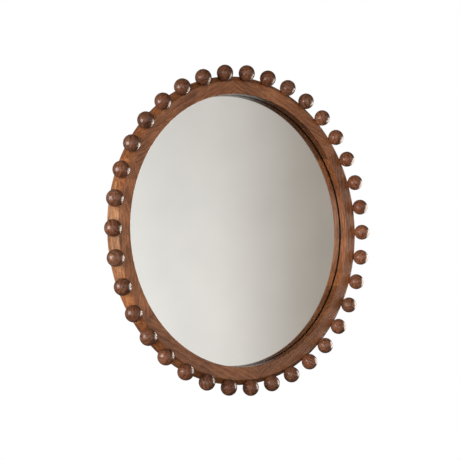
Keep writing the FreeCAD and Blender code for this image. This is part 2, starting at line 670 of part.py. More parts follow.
def make_ring(side):
    """D-shaped wire ring: a straight bar, two short sides and a half circle."""
    body = new_body("hanger_ring_" + SIDE_NAMES[side])
    path = new_sketch(body, "centre_line", "XZ_Plane", offset="-Derived.eye_y")
    middle = size(hanger_x(side))
    low = size("Sizes.hinge_rise")
    high = size("Sizes.hinge_rise + Sizes.ring_side")
    bend = size("Sizes.ring_corner")
    left = middle - size("Derived.ring_bend")
    right = middle + size("Derived.ring_bend")
    start = Vector(middle, low, 0)
    curves = (
        Part.LineSegment(start, Vector(right - bend, low, 0)),
        arc(Vector(right - bend, low + bend, 0), bend, -90, 0),
        Part.LineSegment(Vector(right, low + bend, 0), Vector(right, high, 0)),
        arc(Vector(middle, high, 0), right - middle, 0, 180),
        Part.LineSegment(Vector(left, high, 0), Vector(left, low + bend, 0)),
        arc(Vector(left + bend, low + bend, 0), bend, 180, 270),
        Part.LineSegment(Vector(left + bend, low, 0), start),
    )
    for curve in curves:
        path.addGeometry(curve, False)
    last = len(curves) - 1
    for index in range(last):
        path.addConstraint(Sketcher.Constraint("Tangent", index, 2, index + 1, 1))
    path.addConstraint(Sketcher.Constraint("Coincident", last, 2, 0, 1))
    for index in (0, last):
        path.addConstraint(Sketcher.Constraint("Horizontal", index))
    path.addConstraint(Sketcher.Constraint("Vertical", 2))
    path.addConstraint(Sketcher.Constraint("Equal", 1, 5))
    place_point(path, 0, 1, hanger_x(side), "Sizes.hinge_rise")
    place_point(path, 3, 3, hanger_x(side), "Sizes.hinge_rise + Sizes.ring_side")
    dimension(path, "Radius", (1,), "Sizes.ring_corner")
    dimension(path, "Radius", (3,), "Derived.ring_bend")
    section = new_sketch(body, "wire_section", "YZ_Plane", offset=hanger_x(side))
    draw_circle(section, "Derived.eye_y", "Sizes.hinge_rise", "Sizes.ring_wire / 2")
    wire = body.newObject("PartDesign::AdditivePipe", "wire")
    wire.Profile = section
    wire.Spine = (path, ["Edge%d" % number for number in range(1, len(curves) + 1)])
    tilt_hanger(body, side)
    return body


def make_strap_screws():
    """Pan-head screws of both hangers, two at each."""
    body = new_body("hanger_screws")
    for side in (RIGHT, LEFT):
        for drop in STRAP_SCREW_DROPS:
            add_strap_screw(body, side, drop)
    return body


def add_strap_screw(body, side, drop):
    """One screw, drawn in the plane that holds the axes of both screws of its hanger."""
    away = "%s * cos(Derived.hanger_tilt)" % hanger_x(side)
    turn = (ACROSS, "%d * Derived.hanger_tilt" % -side)
    sketch = new_sketch(body, "screw_section", "YZ_Plane", offset=away, turn=turn)
    sketch.setExpression("AttachmentOffset.Base.y", "Derived.hanger_radius * sin(Derived.hanger_tilt)")
    middle = "Sizes.hinge_rise - (%s)" % drop
    seat = "Derived.strap_top_y"
    top = "%s + Sizes.strap_screw_head_height" % seat
    head_side = "%s + Sizes.strap_screw_head / 2" % middle
    tip = "Derived.strap_screw_tip"
    shank = shank_corners(seat, middle, "Sizes.strap_screw_diameter", tip)
    draw_outline(sketch, ((top, middle), (top, head_side), (seat, head_side)) + shank)
    draw_axis(sketch, (top, middle), (tip, middle))
    add_turned(body, "Revolution", "screw", sketch, "Axis0")


def make_all():
    """Every piece of the mirror, in the order that it is put together."""
    pieces = [make_segment(index) for index in range(round(size("Sizes.segment_count")))]
    pieces.append(make_splines())
    ball_count = round(size("Sizes.segment_count * Sizes.balls_on_segment"))
    pieces.extend(make_ball(index) for index in range(ball_count))
    pieces.append(make_dowels())
    pieces.append(make_gasket())
    pieces.append(make_disc(
        "mirror_glass", "Derived.glass_radius", "Derived.glass_back_y", "Sizes.glass_thickness"))
    pieces.append(make_disc(
        "mirror_coating", "Derived.glass_radius - Sizes.coating_margin", "Derived.coating_y",
        "Sizes.coating_thickness"))
    pieces.append(make_backing_board())
    pieces.append(make_board_screws())
    for side in (RIGHT, LEFT):
        pieces.append(make_strap(side))
        pieces.append(make_ring(side))
    pieces.append(make_strap_screws())
    return pieces


def check(pieces):
    """Stops if any object failed or any piece is not a sound solid."""
    for item in doc.Objects:
        if "Invalid" in item.State or "Error" in item.State:
            raise RuntimeError("%s failed: %s" % (item.Name, item.State))
    for piece in pieces:
        if piece.Shape.isNull() or not piece.Shape.isValid() or piece.Shape.Volume <= 0:
            raise RuntimeError("%s has no sound solid" % piece.Label)


all_pieces = make_all()
doc.recompute()
check(all_pieces)
os.makedirs(PARTS_FOLDER, exist_ok=True)
for piece in all_pieces:
    piece.Shape.exportStep(os.path.join(PARTS_FOLDER, piece.Label + ".step"))
    bounds = piece.Shape.BoundBox
    print("%-22s solids %2d  volume %12.1f  x %8.2f %8.2f  y %7.2f %7.2f  z %8.2f %8.2f" % (
        piece.Label, len(piece.Shape.Solids), piece.Shape.Volume,
        bounds.XMin, bounds.XMax, bounds.YMin, bounds.YMax, bounds.ZMin, bounds.ZMax))
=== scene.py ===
"""Looks of the round beaded wall mirror: woods, glass, steel, screws and the studio."""

import math
import random

import bmesh
import bpy
from mathutils import Matrix, Vector


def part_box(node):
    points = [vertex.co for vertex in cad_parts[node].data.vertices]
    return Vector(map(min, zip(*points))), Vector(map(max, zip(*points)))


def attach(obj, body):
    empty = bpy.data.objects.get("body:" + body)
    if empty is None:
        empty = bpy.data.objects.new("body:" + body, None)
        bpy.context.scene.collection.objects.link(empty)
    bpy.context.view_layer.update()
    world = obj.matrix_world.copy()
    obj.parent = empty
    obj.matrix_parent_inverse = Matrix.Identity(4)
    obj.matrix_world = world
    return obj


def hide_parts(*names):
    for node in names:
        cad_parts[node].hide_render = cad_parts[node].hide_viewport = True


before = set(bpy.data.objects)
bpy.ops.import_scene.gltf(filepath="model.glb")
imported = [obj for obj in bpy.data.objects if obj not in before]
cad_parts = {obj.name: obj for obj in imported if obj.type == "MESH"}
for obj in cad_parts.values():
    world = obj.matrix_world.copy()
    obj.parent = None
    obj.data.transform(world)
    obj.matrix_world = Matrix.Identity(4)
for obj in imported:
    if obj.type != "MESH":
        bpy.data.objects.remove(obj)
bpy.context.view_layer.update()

# Lengths are in metres. Angles round the mirror are in degrees and run clockwise from its top.
MIRROR_BODY = "mirror"
SEGMENT_COUNT = 6
SEGMENT_ANGLE = 360 / SEGMENT_COUNT
FIRST_SEGMENT_MIDDLE = 25
BALL_COUNT = 36
FULL_TURN = 2 * math.pi
QUARTER_TURN = math.pi / 2
Z_TO_WALL = Matrix(((1, 0, 0, 0), (0, 0, 1, 0), (0, -1, 0, 0), (0, 0, 0, 1)))
WHITE = (1.0, 1.0, 1.0)

# A Mix node has its colours at the inputs 6 and 7 and their blend at the output 2.
MIX_FIRST, MIX_SECOND, MIX_RESULT = 6, 7, 2


def set_inputs(tree, node, inputs):
    """Gives a node's inputs plain values or the outputs of other nodes."""
    for name, value in inputs.items():
        if isinstance(value, bpy.types.NodeSocket):
            tree.links.new(value, node.inputs[name])
        else:
            node.inputs[name].default_value = value


def join(tree, kind, inputs=None, **settings):
    """New shader node with its settings and inputs."""
    made = tree.nodes.new("ShaderNode" + kind)
    for name, value in settings.items():
        setattr(made, name, value)
    set_inputs(tree, made, inputs or {})
    return made


def math_node(tree, operation, *values):
    return join(tree, "Math", dict(enumerate(values)), operation=operation).outputs[0]


def add(tree, first, second):
    return math_node(tree, "ADD", first, second)


def times(tree, first, second):
    return math_node(tree, "MULTIPLY", first, second)


def vector_node(tree, operation, *values):
    return join(tree, "VectorMath", dict(enumerate(values)), operation=operation).outputs[0]


def length_of(tree, vector):
    return join(tree, "VectorMath", {0: vector}, operation="LENGTH").outputs["Value"]


def ramp(tree, factor, stops, interpolation="LINEAR"):
    """Colour ramp through (place, colour) stops."""
    made = join(tree, "ValToRGB", {"Fac": factor})
    band = made.color_ramp
    band.interpolation = interpolation
    while len(band.elements) < len(stops):
        band.elements.new(1)
    for element, (place, colour) in zip(band.elements, stops):
        element.position = place
        element.color = (*colour, 1)
    return made.outputs["Color"]


def fade(tree, value, start, end):
    """0 up to start and 1 from end on, smooth between. With end below start it runs the other way."""
    made = join(tree, "MapRange", {"Value": value, "From Min": start, "From Max": end},
                interpolation_type="SMOOTHSTEP")
    return made.outputs["Result"]


def mix(tree, factor, first, second, blend="MIX"):
    """Blend of two colours, of which each is plain or the output of another node."""
    inputs = {0: factor}
    for index, value in ((MIX_FIRST, first), (MIX_SECOND, second)):
        inputs[index] = value if isinstance(value, bpy.types.NodeSocket) else (*value, 1)
    return join(tree, "Mix", inputs, data_type="RGBA", blend_type=blend).outputs[MIX_RESULT]


def object_place(tree):
    return join(tree, "TexCoord").outputs["Object"]


def noise(tree, place, scale, detail):
    return join(tree, "TexNoise", {"Vector": place, "Scale": scale, "Detail": detail}).outputs["Fac"]


def grain_noise(tree, place, size, detail=2.0, roughness=0.5):
    """Noise with features of the size (along, across) a grain that runs along X."""
    along, across = size
    scaled = vector_node(tree, "MULTIPLY", place, (1 / along, 1 / across, 1 / across))
    return join(tree, "TexNoise", {"Vector": scaled, "Scale": 1.0, "Detail": detail,
                                   "Roughness": roughness}).outputs["Fac"]


def bump(tree, height, strength, distance):
    made = join(tree, "Bump", {"Height": height, "Strength": strength, "Distance": distance})
    return made.outputs["Normal"]


def new_material(name):
    """Material with a plain Principled shader; returns it, its node tree and the shader."""
    material = bpy.data.materials.new(name)
    material.use_nodes = True
    tree = material.node_tree
    tree.nodes.clear()
    shader = join(tree, "BsdfPrincipled")
    join(tree, "OutputMaterial", {"Surface": shader.outputs[0]})
    return material, tree, shader


# Colours of the stained wood, linear, from the dark latewood to the pale streaks, and their places on
# the scale of its grain.
FRAME_TONES = ((0.120, 0.040, 0.015), (0.240, 0.080, 0.027),
               (0.350, 0.125, 0.045), (0.490, 0.200, 0.085))
BALL_TONES = ((0.055, 0.021, 0.0113), (0.125, 0.048, 0.0245),
              (0.190, 0.076, 0.0395), (0.280, 0.125, 0.069))
# Pale tones of painted light, laid on the left plank's outer side where the side lamp falls.
PAINTED_SIDE_LIGHT_TONES = ((0.165, 0.068, 0.027), (0.300, 0.128, 0.051),
                 (0.430, 0.200, 0.086), (0.560, 0.290, 0.140))
TONE_STOPS = (0.18, 0.40, 0.58, 0.82)
REDNESS_SHARES = (0.5, -0.5, -1.0)

# Grain of the wood. A size is (along, across) the grain and a weight is the part's say in the tone.
GRAIN_SHIFT = 2
SWAY_SCALE, SWAY_REACH = 14.0, 0.016
RING_SLANT, RING_SHARPNESS = 0.10, 2.2
RING_FRAY_SIZE, RING_FRAY = (0.05, 0.012), 0.9
STREAK_SIZE, STREAK_WEIGHT = (0.11, 0.007), 0.60
FLECK_SIZE, FLECK_WEIGHT = (0.020, 0.0034), 0.85
FIBRE_SIZE, FIBRE_WEIGHT = (0.030, 0.0009), 0.30
BLOTCH_SCALE, BLOTCH_WEIGHT = 12.0, 0.60
NOISE_MEAN, LATEWOOD_MEAN = 0.5, 0.36

# Open pores, and the satin lacquer over them.
PORE_SIZE, PORE_CLUSTER_SIZE = (0.0075, 0.0006), (0.03, 0.006)
PORE_LATEWOOD_LOSS, PORE_CLUSTERING = 0.10, 0.22
PORE_EDGE = (0.68, 0.76)
PORE_COLOUR, PORE_DARKNESS = (0.040, 0.015, 0.008), 0.75
WOOD_ROUGHNESS, FIBRE_ROUGHNESS, PORE_ROUGHNESS = 0.34, 0.16, 0.2
FIBRE_HEIGHT = 0.35
LACQUER_ROUGHNESS, LACQUER_IOR = 0.24, 1.5

# Radii of the frame's edges, and how far out on a segment's middle line its painted side light starts and
# is full.
SIGHT_EDGE, FACE_EDGE, EDGE_ROUND = 0.3776, 0.4136, 0.0012
PAINTED_SIDE_LIGHT_START, PAINTED_SIDE_LIGHT_FULL, PAINTED_SIDE_LIGHT_WAVER, PAINTED_SIDE_LIGHT_SHARE = 0.396, 0.413, 0.03, 0.9


def latewood_rings(tree, place, moved, ring_spacing, pith):
    """Growth rings: slanted shells round a pith that lies beside the piece, bent by slow noise."""
    sway = join(tree, "TexNoise", {"Vector": moved, "Scale": SWAY_SCALE, "Detail": 2.0}).outputs["Color"]
    sway = vector_node(tree, "SUBTRACT", sway, (NOISE_MEAN, NOISE_MEAN, NOISE_MEAN))
    sway = vector_node(tree, "MULTIPLY", sway, (0.0, SWAY_REACH, SWAY_REACH))
    shells = vector_node(tree, "ADD", vector_node(tree, "ADD", place, sway), pith)
    shells = vector_node(tree, "MULTIPLY", shells, (RING_SLANT, 1.0, 1.0))
    phase = math_node(tree, "DIVIDE", length_of(tree, shells), ring_spacing)
    phase = add(tree, phase, times(tree, grain_noise(tree, moved, RING_FRAY_SIZE), RING_FRAY))
    return math_node(tree, "POWER", math_node(tree, "FRACT", phase), RING_SHARPNESS)


def tinted(tones, tone, redness):
    """The tones times `tone`, shifted towards red by `redness`."""
    return [tuple(channel * tone * (1 + redness * share) for channel, share in zip(colour, REDNESS_SHARES))
            for colour in tones]


def paint_light_on_edges(tree, colour, place, painted_edge_lights):
    """Paints light and shade on both sides of the face: a factor on the inner wall, then one on the bevel,
    that makes each lighter or darker by how the lamps fall there.
    """
    radius = length_of(tree, vector_node(tree, "MULTIPLY", place, (1.0, 0.0, 1.0)))
    edges = ((SIGHT_EDGE + EDGE_ROUND, SIGHT_EDGE), (FACE_EDGE - EDGE_ROUND, FACE_EDGE))
    for (start, end), painted_edge_light in zip(edges, painted_edge_lights):
        colour = mix(tree, fade(tree, radius, start, end), colour, (painted_edge_light,) * 3, "MULTIPLY")
    return colour


def add_painted_side_light(tree, colour, place, level, streak):
    """Painted light: pale tones on the plank's outer side, the bevel and outer edge that face the side
    lamp, with a border that wavers with the streaks.
    """
    waver = times(tree, math_node(tree, "SUBTRACT", streak, NOISE_MEAN), PAINTED_SIDE_LIGHT_WAVER)
    reach = add(tree, join(tree, "SeparateXYZ", {0: place}).outputs["Z"], waver)
    share = times(tree, fade(tree, reach, PAINTED_SIDE_LIGHT_START, PAINTED_SIDE_LIGHT_FULL), PAINTED_SIDE_LIGHT_SHARE)
    return mix(tree, share, colour, ramp(tree, level, tuple(zip(TONE_STOPS, PAINTED_SIDE_LIGHT_TONES))))


def open_pores(tree, moved, latewood):
    """Short dashes in clusters, denser in the ring's early part."""
    dash = grain_noise(tree, moved, PORE_SIZE, detail=1.0)
    cluster = grain_noise(tree, moved, PORE_CLUSTER_SIZE)
    limit = add(tree, times(tree, latewood, PORE_LATEWOOD_LOSS), times(tree, cluster, -PORE_CLUSTERING))
    return fade(tree, math_node(tree, "SUBTRACT", dash, limit), *PORE_EDGE)


def wood(name, tones, turn, seed, ring_spacing, pith, tone=1.0, redness=0.0, ring_depth=0.22,
         painted_edge_lights=None, painted_side_light=False):
    """Lacquered walnut-like wood. The grain runs along X once the object's axes are turned by `turn`.
    All its gloss is the lacquer's."""
    rng = random.Random(seed)
    material, tree, shader = new_material(name)
    shift = tuple(rng.uniform(-GRAIN_SHIFT, GRAIN_SHIFT) for _ in range(3))
    place = join(tree, "Mapping", {"Vector": object_place(tree), "Rotation": turn}).outputs[0]
    moved = vector_node(tree, "ADD", place, shift)

    latewood = latewood_rings(tree, place, moved, ring_spacing, pith)
    streak = grain_noise(tree, moved, STREAK_SIZE, detail=4.0, roughness=0.6)
    fleck = grain_noise(tree, moved, FLECK_SIZE, detail=3.0, roughness=0.6)
    fibre = grain_noise(tree, moved, FIBRE_SIZE)
    blotch = noise(tree, moved, BLOTCH_SCALE, detail=2.0)
    level = times(tree, streak, STREAK_WEIGHT)
    for value, weight in ((fleck, FLECK_WEIGHT), (fibre, FIBRE_WEIGHT), (blotch, BLOTCH_WEIGHT),
                          (latewood, -ring_depth)):
        level = add(tree, level, times(tree, value, weight))
    weights = STREAK_WEIGHT + FLECK_WEIGHT + FIBRE_WEIGHT + BLOTCH_WEIGHT
    level = add(tree, level, 0.5 - NOISE_MEAN * weights + LATEWOOD_MEAN * ring_depth)

    colour = ramp(tree, level, tuple(zip(TONE_STOPS, tinted(tones, tone, redness))))
    # Painted light and shade on the inner wall and the bevel.
    if painted_edge_lights:
        colour = paint_light_on_edges(tree, colour, place, painted_edge_lights)
    # Painted light on the outer side of the left plank.
    if painted_side_light:
        colour = add_painted_side_light(tree, colour, place, level, streak)
    pore = open_pores(tree, moved, latewood)
    colour = mix(tree, times(tree, pore, PORE_DARKNESS), colour, PORE_COLOUR)
    rough = add(tree, times(tree, fibre, FIBRE_ROUGHNESS), times(tree, pore, PORE_ROUGHNESS))
    rough = add(tree, rough, WOOD_ROUGHNESS)
    height = math_node(tree, "SUBTRACT", times(tree, fibre, FIBRE_HEIGHT), pore)
    set_inputs(tree, shader, {
        "Base Color": colour, "Roughness": rough, "Specular IOR Level": 0.0,
        "Normal": bump(tree, height, strength=0.35, distance=0.00025),
        "Coat Weight": 1.0, "Coat Roughness": LACQUER_ROUGHNESS, "Coat IOR": LACQUER_IOR,
    })
    return material


def clear_glass():
    """Float glass, faintly green and hardly uneven in its tint."""
    material, tree, shader = new_material("clear_glass")
    wave = noise(tree, object_place(tree), scale=5.0, detail=1.0)
    tint = ramp(tree, wave, ((0.3, (0.982, 0.991, 0.984)), (0.7, (0.989, 0.995, 0.990))))
    set_inputs(tree, shader, {"Base Color": tint, "Roughness": 0.0, "IOR": 1.52,
                              "Transmission Weight": 1.0})
    return material


def silver():
    """Silvered back of the glass: bright, the least bit cloudy."""
    material, tree, shader = new_material("silver_coating")
    cloud = noise(tree, object_place(tree), scale=6.0, detail=3.0)
    colour = ramp(tree, cloud, ((0.3, (0.905, 0.915, 0.905)), (0.7, (0.93, 0.935, 0.925))))
    set_inputs(tree, shader, {"Base Color": colour, "Metallic": 1.0, "Roughness": 0.0})
    return material


def gasket_foam():
    """Black foam tape with fine cells."""
    material, tree, shader = new_material("gasket_foam")
    cells = join(tree, "TexVoronoi", {"Vector": object_place(tree), "Scale": 900.0}).outputs["Distance"]
    colour = ramp(tree, cells, ((0.1, (0.020, 0.019, 0.018)), (0.7, (0.060, 0.057, 0.054))))
    set_inputs(tree, shader, {"Base Color": colour, "Roughness": 0.85,
                              "Normal": bump(tree, cells, strength=0.6, distance=0.0004)})
    return material


BOARD_FIBRE_WEIGHT, BOARD_PATCH_WEIGHT = 0.8, 0.35
MESH_MARK_HEIGHT = 0.6


def hardboard():
    """Pressed board: matted fibres over a fine woven mesh mark."""
    material, tree, shader = new_material("hardboard")
    place = object_place(tree)
    fibres = join(tree, "TexNoise", {"Vector": place, "Scale": 260.0, "Detail": 6.0, "Roughness": 0.7,
                                     "Distortion": 1.5}).outputs["Fac"]
    patches = noise(tree, place, scale=11.0, detail=3.0)
    level = add(tree, times(tree, fibres, BOARD_FIBRE_WEIGHT), times(tree, patches, BOARD_PATCH_WEIGHT))
    colour = ramp(tree, level, ((0.38, (0.105, 0.052, 0.024)), (0.55, (0.195, 0.105, 0.050)),
                                (0.74, (0.300, 0.175, 0.090))))
    weave = [join(tree, "TexWave", {"Vector": place, "Scale": 180.0}, bands_direction=axis).outputs["Fac"]
             for axis in ("X", "Z")]
    height = add(tree, times(tree, times(tree, *weave), MESH_MARK_HEIGHT), fibres)
    set_inputs(tree, shader, {"Base Color": colour, "Roughness": 0.72,
                              "Normal": bump(tree, height, strength=0.5, distance=0.0005)})
    return material


BEECH_STREAK_SIZE, BEECH_STREAK_WEIGHT = (0.08, 0.003), 0.7
BEECH_FLECK_SIZE, BEECH_FLECK_WEIGHT = (0.004, 0.0006), 0.3


def bare_wood():
    """Pale beech of the dowels and tongues."""
    material, tree, shader = new_material("joinery_wood")
    place = object_place(tree)
    streak = times(tree, grain_noise(tree, place, BEECH_STREAK_SIZE, detail=4.0), BEECH_STREAK_WEIGHT)
    fleck = times(tree, grain_noise(tree, place, BEECH_FLECK_SIZE), BEECH_FLECK_WEIGHT)
    colour = ramp(tree, add(tree, streak, fleck), ((0.35, (0.42, 0.26, 0.13)), (0.65, (0.62, 0.43, 0.25))))
    set_inputs(tree, shader, {"Base Color": colour, "Roughness": 0.6})
    return material


SCRATCH_LENGTH = 0.006
SPOT_EDGE, SPOT_SHADE = (0.62, 0.72), 0.55
PLATE_ROUGHNESS, SCRATCH_ROUGHNESS = 0.22, 0.25


def plated_steel(name, bright, dull, scratch_width):
    """Zinc plate: cloudy passivation, fine scratches and small dull spots."""
    material, tree, shader = new_material(name)
    place = object_place(tree)
    cloud = noise(tree, place, scale=160.0, detail=3.0)
    scratch = grain_noise(tree, place, (SCRATCH_LENGTH, scratch_width))
    spots = noise(tree, place, scale=900.0, detail=2.0)
    colour = ramp(tree, cloud, ((0.35, dull), (0.65, bright)))
    colour = mix(tree, fade(tree, spots, *SPOT_EDGE), colour, tuple(SPOT_SHADE * value for value in dull))
    rough = add(tree, times(tree, scratch, SCRATCH_ROUGHNESS), PLATE_ROUGHNESS)
    set_inputs(tree, shader, {"Base Color": colour, "Metallic": 1.0, "Roughness": rough,
                              "Normal": bump(tree, scratch, strength=0.25, distance=0.00008)})
    return material


def put_on(node_name, material):
    """Gives a CAD node its material and slot."""
    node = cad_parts[node_name]
    node.data.materials.clear()
    node.data.materials.append(material)


# Tones of the six segments, whose middles lie at 25 degrees and every 60 after that. The factors of the
# inner wall and the bevel multiply the face's own; they are painted light and shade, each segment's wall
# and bevel lighter or darker by how the lamps fall on that side of the ring.
FACE_TONES = (0.96, 0.90, 0.72, 0.88, 1.12, 0.97)
INNER_WALL_PAINTED_LIGHT = (0.45, 1.16, 0.90, 1.0, 1.0, 1.0)
BEVEL_PAINTED_LIGHT = (1.2, 1.0, 1.0, 0.86, 0.88, 0.76)
# The segment at the left, whose outer side gets the painted light.
PAINTED_SIDE_LIGHT_SEGMENT = 4
SEGMENT_RING_SPACING = 0.008
SEGMENT_SKEW = 3
SEGMENT_PITH = ((-0.1, 0.1), (0.03, 0.10), (-0.36, -0.44))
SEGMENT_SEED, PLANK_SEED = 100, 10


def dress_segments():
    """Each segment is cut from its own plank, with the grain along its chord."""
    for index in range(SEGMENT_COUNT):
        rng = random.Random(SEGMENT_SEED + index)
        middle = FIRST_SEGMENT_MIDDLE + SEGMENT_ANGLE * index
        turn = (0, -math.radians(middle + rng.uniform(-SEGMENT_SKEW, SEGMENT_SKEW)), 0)
        pith = tuple(rng.uniform(*limits) for limits in SEGMENT_PITH)
        material = wood("frame_wood_%d" % (index + 1), FRAME_TONES, turn, PLANK_SEED + index,
                        SEGMENT_RING_SPACING, pith, tone=FACE_TONES[index],
                        painted_edge_lights=(INNER_WALL_PAINTED_LIGHT[index], BEVEL_PAINTED_LIGHT[index]),
                        painted_side_light=index == PAINTED_SIDE_LIGHT_SEGMENT)
        put_on("frame_segment_%d" % (index + 1), material)


SMOOTH_BELOW = math.radians(35)


def add_piece(name, shape, material, replaced, place=None):
    """Turns a bmesh into a shown piece that stands for CAD nodes and rides on the mirror."""
    bmesh.ops.recalc_face_normals(shape, faces=shape.faces)
    for edge in shape.edges:
        edge.smooth = edge.calc_face_angle(0.0) < SMOOTH_BELOW
    for face in shape.faces:
        face.smooth = True
    mesh = bpy.data.meshes.new(name)
    shape.to_mesh(mesh)
    shape.free()
    mesh.materials.append(material)
    piece = bpy.data.objects.new(name, mesh)
    if place is not None:
        piece.matrix_world = place
    bpy.context.scene.collection.objects.link(piece)
    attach(piece, MIRROR_BODY)
    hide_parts(*replaced)


def bridge(shape, rings, count):
    """Faces between each two rings of `count` points, or of one point."""
    for low, high in zip(rings, rings[1:]):
        for index in range(count):
            after = (index + 1) % count
            corners = [low[index % len(low)], low[after % len(low)],
                       high[after % len(high)], high[index % len(high)]]
            shape.faces.new(dict.fromkeys(corners))


def ring_point(radius, angle, rise):
    return Vector((radius * math.cos(angle), radius * math.sin(angle), rise))


def revolve(shape, profile, count):
    """Skin of a profile of (radius, rise) points turned about Z; a radius of zero closes to a point."""
    rings = []
    for radius, rise in profile:
        angles = [FULL_TURN * index / count for index in range(count)] if radius else [0]
        rings.append([shape.verts.new(ring_point(radius, angle, rise)) for angle in angles])
    bridge(shape, rings, count)


# Balls. The seat is the flat that cuts a cap of this height off a ball.
BALL_FLAT, BALL_SEAT_ROUND = 0.0013, 0.0003
DOWEL_HOLE_RADIUS, DOWEL_HOLE_DEPTH = 0.0041, 0.017
BALL_RINGS, BALL_SIDES = 56, 96
BALL_PITH, BALL_RING_SPACING, BALL_RING_DEPTH = (-0.03, 0.03), (0.006, 0.010), 0.30
BALL_TONE_SPREAD, BALL_REDNESS = (0.90, 1.10), (-0.06, 0.10)
BALL_SEED, OFFCUT_SEED = 500, 900
# Painted light and shade on the balls: darker at the top and bottom of the ring, lighter at its sides and
# most at the right.
BALL_TONE, BALL_PAINTED_LIGHT_AT_SIDES, BALL_PAINTED_LIGHT_AT_RIGHT = 0.99, 0.15, 0.22


def ball_profile(radius):
    """From the bottom of the dowel hole, over the flat seat and round the ball to its far pole."""
    seat = BALL_FLAT - radius
    rim_angle = math.acos(seat / radius)
    rim = radius * math.sin(rim_angle)
    profile = [(0, seat + DOWEL_HOLE_DEPTH), (DOWEL_HOLE_RADIUS, seat + DOWEL_HOLE_DEPTH),
               (DOWEL_HOLE_RADIUS, seat), (rim - BALL_SEAT_ROUND, seat)]
    start = rim_angle - BALL_SEAT_ROUND / radius
    for step in range(BALL_RINGS):
        angle = start * (1 - step / BALL_RINGS)
        profile.append((radius * math.sin(angle), radius * math.cos(angle)))
    return profile + [(0, radius)]


def ball_tone_with_painted_light(angle):
    """Tone of the ball at an angle from the top, with painted light and shade: darkest at the top and
    bottom, lightest at the right.
    """
    return BALL_TONE - BALL_PAINTED_LIGHT_AT_SIDES * math.cos(2 * angle) + BALL_PAINTED_LIGHT_AT_RIGHT * math.sin(angle)


def make_balls():
    """Every ball is turned from another offcut: its own grain direction, rings and tone. The tone also
    carries painted light and shade by the ball's place round the ring.
    """
    low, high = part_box("ball_01")
    radius = (high.x - low.x) / 2
    reach, front = high.z - radius, low.y + radius
    for index in range(BALL_COUNT):
        rng = random.Random(BALL_SEED + index)
        angle = FULL_TURN * index / BALL_COUNT
        outward = Vector((math.sin(angle), 0, math.cos(angle)))
        axis = outward + Vector((0, -1, 0))
        turn = tuple(rng.uniform(0, FULL_TURN) for _ in range(3))
        pith = tuple(rng.uniform(*BALL_PITH) for _ in range(3))
        ring_spacing = rng.uniform(*BALL_RING_SPACING)
        tone = ball_tone_with_painted_light(angle) * rng.uniform(*BALL_TONE_SPREAD)
        redness = rng.uniform(*BALL_REDNESS)
        material = wood("ball_wood_%02d" % (index + 1), BALL_TONES, turn, OFFCUT_SEED + index, ring_spacing,
                        pith, tone=tone, redness=redness, ring_depth=BALL_RING_DEPTH)
        shape = bmesh.new()
        revolve(shape, ball_profile(radius), BALL_SIDES)
        shape.transform(axis.to_track_quat("Z", "Y").to_matrix().to_4x4())
        name = "ball_%02d" % (index + 1)
        place = Matrix.Translation(outward * reach + Vector((0, front, 0)))
        add_piece("turned_" + name, shape, material, [name], place=place)


# Screws. A screw lies along Z below its head's top; a head is a profile of (radius, height) points that
# ends at the shank.
RECESS_ARM, RECESS_TAPER, RECESS_DEPTH = 0.0019, 0.62, 0.0013
RECESS_CORNER = math.radians(13)
RECESS_SHARES = (-1.0, -0.7, -0.4, 0.0, 0.4, 0.7, 1.0)
BETWEEN_ARMS_SHARES = (0.25, 0.5, 0.75)
ANGLE_TOLERANCE = 1e-6
SCREW_TIP, THREAD_PITCH, THREAD_CORE_SHARE = 0.003, 0.0014, 0.74
THREAD_STEPS, THREAD_SLOPE = 8, 3
BOARD_HEAD = ((0.0033, 0), (0.0035, -0.00012), (0.0035, -0.0002), (0.00175, -0.00175))
PAN_HEAD = ((0.0023, 0), (0.0031, -0.0003), (0.0036, -0.0009), (0.00375, -0.0015),
            (0.00375, -0.002), (0.002, -0.002))


def screw_angles():
    """Angles that meet every corner of a cross recess."""
    angles = []
    for arm in range(4):
        middle = QUARTER_TURN * arm
        angles += [middle + RECESS_CORNER * share for share in RECESS_SHARES]
        angles += [middle + RECESS_CORNER + (QUARTER_TURN - 2 * RECESS_CORNER) * share
                   for share in BETWEEN_ARMS_SHARES]
    return angles


def cross_reach(angle, arm):
    """Distance from the middle to the edge of a cross with arms of that length."""
    off = abs((angle + QUARTER_TURN / 2) % QUARTER_TURN - QUARTER_TURN / 2)
    if off <= RECESS_CORNER + ANGLE_TOLERANCE:
        return arm / math.cos(off)
    return arm * math.tan(RECESS_CORNER) / math.sin(off)


def thread_rings(angles, shank, seat, length):
    """Rings of (radius, height) points down a shank: a thread's one crest per pitch, and a pointed tip."""
    rings = []
    steps = int((length + seat) / THREAD_PITCH * THREAD_STEPS)
    for step in range(1, steps + 1):
        height = seat - (length + seat) * step / steps
        taper = min(1.0, (length + height) / SCREW_TIP)
        ring = []
        for angle in angles:
            turn = (height / THREAD_PITCH - angle / FULL_TURN) % 1
            crest = (1 - THREAD_CORE_SHARE) * max(0.0, 1 - THREAD_SLOPE * abs(turn - 0.5))
            ring.append((shank * (THREAD_CORE_SHARE + crest) * taper, height))
        rings.append(ring)
    return rings


def add_screw(shape, place, head, length):
    """Cross-recessed wood screw, its head's top at the origin of `place`."""
    angles = screw_angles()
    rings = [[(0, -RECESS_DEPTH)] * len(angles)]
    rings.append([(cross_reach(angle, RECESS_ARM * RECESS_TAPER), -RECESS_DEPTH) for angle in angles])
    rings.append([(cross_reach(angle, RECESS_ARM), 0) for angle in angles])
    rings += [[point] * len(angles) for point in head]
    rings += thread_rings(angles, *head[-1], length)
    skins = []
    for ring in rings:
        if max(radius for radius, height in ring) == 0:
            ring = ring[:1]
        skins.append([shape.verts.new(place @ ring_point(radius, angle, height))
                      for angle, (radius, height) in zip(angles, ring)])
    bridge(shape, skins, len(angles))


